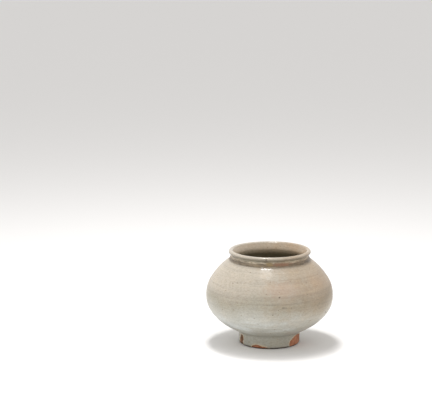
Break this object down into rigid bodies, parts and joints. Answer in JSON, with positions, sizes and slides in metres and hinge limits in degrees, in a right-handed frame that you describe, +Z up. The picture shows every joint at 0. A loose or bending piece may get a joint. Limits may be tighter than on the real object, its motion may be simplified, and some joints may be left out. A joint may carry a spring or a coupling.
{
  "type": "korean porcelain jar",
  "caption": "Squat wheel-thrown porcelain jar with a rolled lip, short neck, round belly and turned foot ring, coated in thin grey-green glaze.",
  "frame": {"origin": "centre of the resting circle of the foot ring, on the table", "axes": "+Z up along the axis of the jar, -Y towards the viewer of the picture"},
  "size_m": [0.14, 0.14, 0.1048],
  "materials": {
    "bare_clay": "matte",
    "outside_glaze": "satin",
    "rim_glaze": "gloss",
    "inside_glaze": "gloss",
    "well_glaze": "satin"
  },
  "bodies": {
    "root": {"foot_ring": "bare_clay", "floor_disc": "bare_clay", "lower_wall": "bare_clay", "shoulder_wall": "bare_clay", "neck": "bare_clay", "rolled_lip": "bare_clay", "foot_glaze": "outside_glaze", "outer_glaze": "outside_glaze", "lip_glaze": "rim_glaze", "inner_glaze": "inside_glaze", "well_glaze": "well_glaze"}
  },
  "joints": []
}
